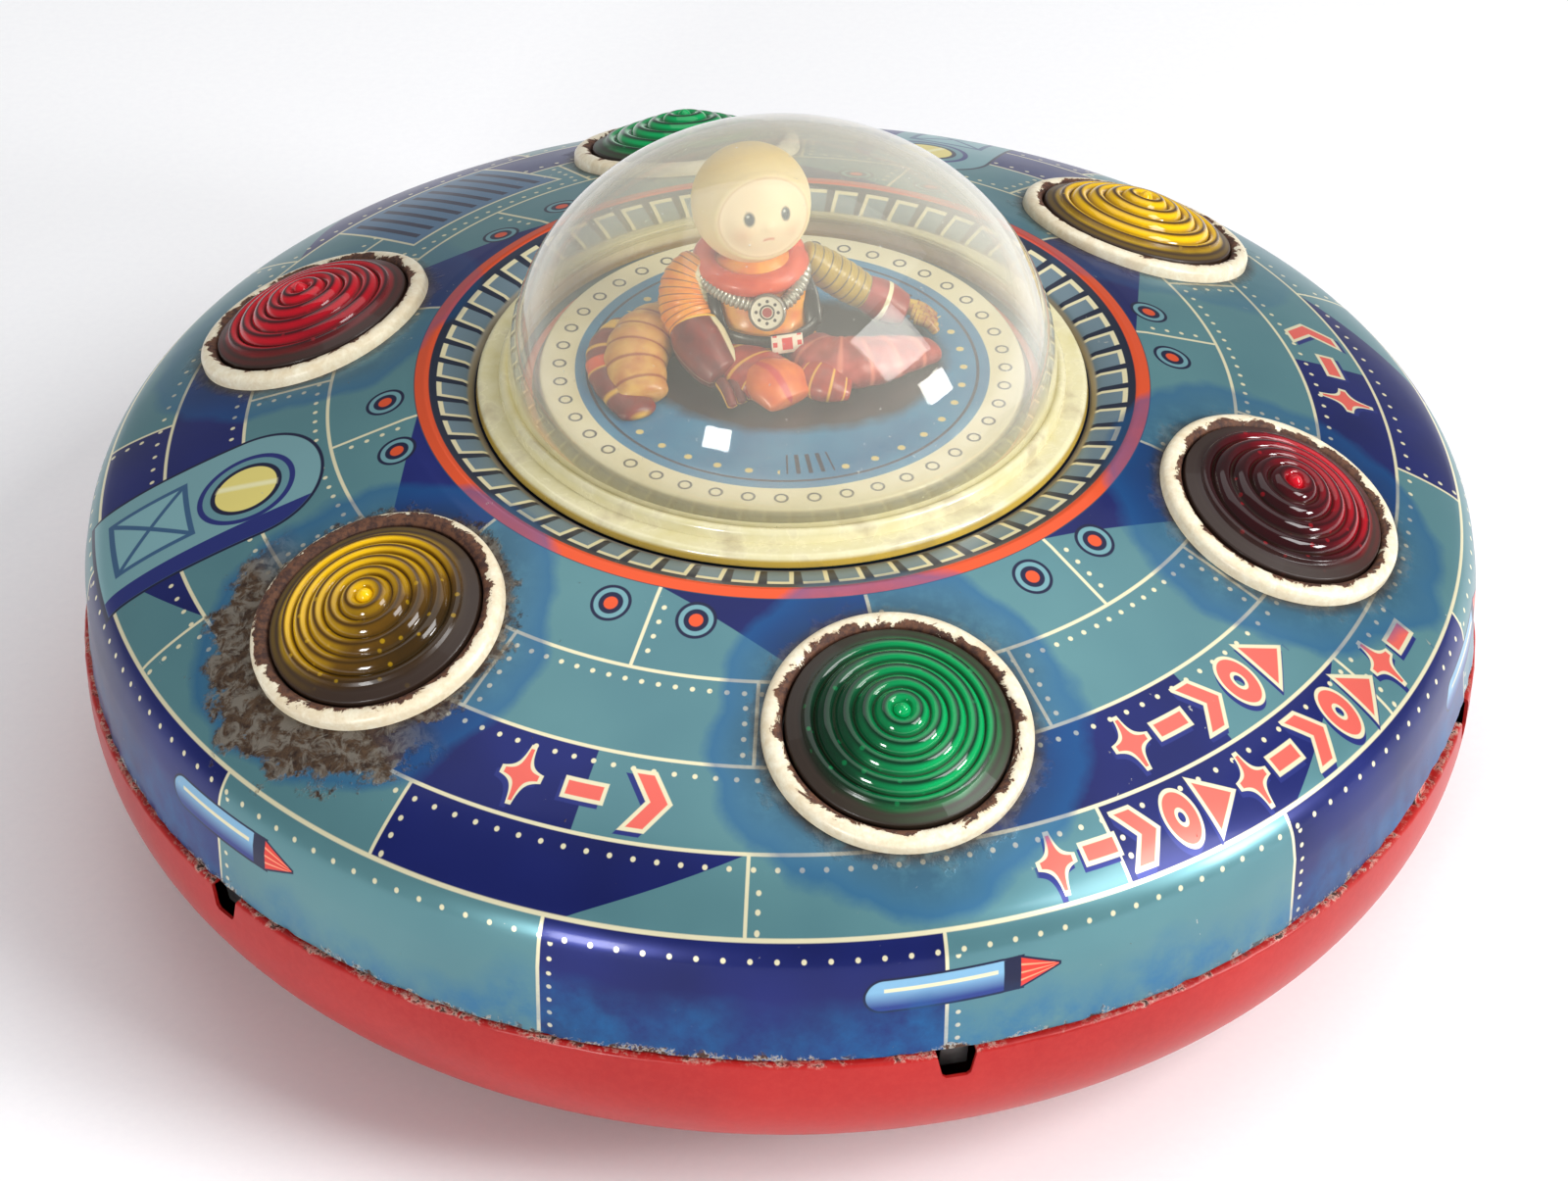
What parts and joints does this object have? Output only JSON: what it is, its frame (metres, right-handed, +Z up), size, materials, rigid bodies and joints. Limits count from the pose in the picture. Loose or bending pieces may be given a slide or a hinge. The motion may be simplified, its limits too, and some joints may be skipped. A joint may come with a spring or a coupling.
{
  "type": "tin flying saucer toy",
  "caption": "Tin flying saucer toy with a domed cockpit and seated pilot, ribbed lamp lenses, a battery bay and a swivelling drive turret.",
  "frame": {"origin": "on the saucer's axis, at the floor under the wheels", "axes": "+Z up along the saucer's axis, -Y towards the drive turret and the front lens, +X to the right"},
  "size_m": [0.203, 0.203, 0.1031],
  "materials": {
    "litho_blue": "glossy lithographed tin, blue-green and navy panels",
    "pan_red": "satin red lacquer on tin",
    "dome_clear": "clear, slightly yellowed plastic",
    "deck_litho": "lithographed tin, blue disc and cream ring",
    "suit_litho": "lithographed tin, orange and brown-red",
    "head_vinyl": "cream moulded vinyl",
    "lens_green": "translucent green",
    "lens_red": "translucent red",
    "lens_yellow": "translucent yellow",
    "bezel_cream": "cream enamel, chipped",
    "steel": "bright plated steel",
    "brass": "plain brass",
    "gear_plastic": "off-white nylon",
    "rubber_black": "matte black",
    "fibre_board": "brown fibre board",
    "knob_black": "black",
    "bulb_glass": "clear bulb glass"
  },
  "bodies": {
    "saucer": {"upper_shell": "litho_blue", "lower_pan": "pan_red", "dome": "dome_clear", "cockpit_deck": "deck_litho", "pilot_body": "suit_litho", "pilot_head": "head_vinyl", "battery_box": "steel", "contact_plate": "brass", "battery_spring_left": "steel", "battery_spring_right": "steel", "door_hinge_wire": "steel", "switch_plate": "fibre_board", "frame_lower": "steel", "frame_upper": "steel", "motor_can": "steel", "wheel_bracket_left": "steel", "wheel_bracket_right": "steel", "wheel_pin_left": "steel", "wheel_pin_right": "steel", "lamp_strip": "fibre_board", "lamp_socket_left": "brass", "lamp_socket_right": "brass", "lamp_left": "bulb_glass", "lamp_right": "bulb_glass", "lens_front": "lens_green", "bezel_front": "bezel_cream", "lens_right_front": "lens_red", "bezel_right_front": "bezel_cream", "lens_right_back": "lens_yellow", "bezel_right_back": "bezel_cream", "lens_back": "lens_green", "bezel_back": "bezel_cream", "lens_left_back": "lens_red", "bezel_left_back": "bezel_cream", "lens_left_front": "lens_yellow", "bezel_left_front": "bezel_cream"},
    "drive_turret": {"turret": "steel", "turret_clip": "steel"},
    "drive_axle_set": {"drive_axle": "steel", "crown_gear": "gear_plastic", "drive_wheel_left": "steel", "drive_wheel_right": "steel", "drive_tyre_left": "rubber_black", "drive_tyre_right": "rubber_black"},
    "drive_shaft_set": {"drive_shaft": "steel", "drive_gear": "gear_plastic", "turret_pinion": "brass"},
    "idler_set": {"idler_arbor": "steel", "idler_gear": "gear_plastic", "idler_pinion": "brass"},
    "motor_rotor": {"motor_shaft": "steel", "motor_pinion": "brass"},
    "rear_wheel_left": {"rear_wheel_left": "rubber_black"},
    "rear_wheel_right": {"rear_wheel_right": "rubber_black"},
    "battery_flap": {"battery_door": "pan_red", "door_catch": "steel"},
    "switch_slider": {"switch_knob": "knob_black"}
  },
  "joints": [
    {"name": "turret_swivel", "type": "hinge", "parent": "saucer", "child": "drive_turret", "pos_m": [0, -0.042, 0.02], "axis": [0, 0, 1], "continuous": true},
    {"name": "drive_axle_spin", "type": "hinge", "parent": "drive_turret", "child": "drive_axle_set", "pos_m": [0, -0.042, 0.0095], "axis": [1, 0, 0], "continuous": true},
    {"name": "drive_shaft_spin", "type": "hinge", "parent": "saucer", "child": "drive_shaft_set", "pos_m": [0, -0.042, 0.0275], "axis": [0, 0, 1], "continuous": true},
    {"name": "idler_spin", "type": "hinge", "parent": "saucer", "child": "idler_set", "pos_m": [0.0065, -0.03074, 0.033], "axis": [0, 0, 1], "continuous": true},
    {"name": "motor_spin", "type": "hinge", "parent": "saucer", "child": "motor_rotor", "pos_m": [0.00867, -0.01843, 0.033], "axis": [0, 0, 1], "continuous": true},
    {"name": "rear_wheel_left_spin", "type": "hinge", "parent": "saucer", "child": "rear_wheel_left", "pos_m": [-0.046, 0.04, 0.0095], "axis": [1, 0, 0], "continuous": true},
    {"name": "rear_wheel_right_spin", "type": "hinge", "parent": "saucer", "child": "rear_wheel_right", "pos_m": [0.046, 0.04, 0.0095], "axis": [1, 0, 0], "continuous": true},
    {"name": "battery_door_hinge", "type": "hinge", "parent": "saucer", "child": "battery_flap", "pos_m": [0, 0.003, 0.0053], "axis": [-1, 0, 0], "range_deg": [0, 100]},
    {"name": "switch_slide", "type": "slide", "parent": "saucer", "child": "switch_slider", "axis": [0, 1, 0], "range_m": [0, 0.006]}
  ],
  "couplings": [
    {"joint": "idler_spin", "follows": "motor_spin", "ratio": -0.25},
    {"joint": "drive_shaft_spin", "follows": "motor_spin", "ratio": 0.075},
    {"joint": "drive_axle_spin", "follows": "motor_spin", "ratio": -0.03}
  ]
}
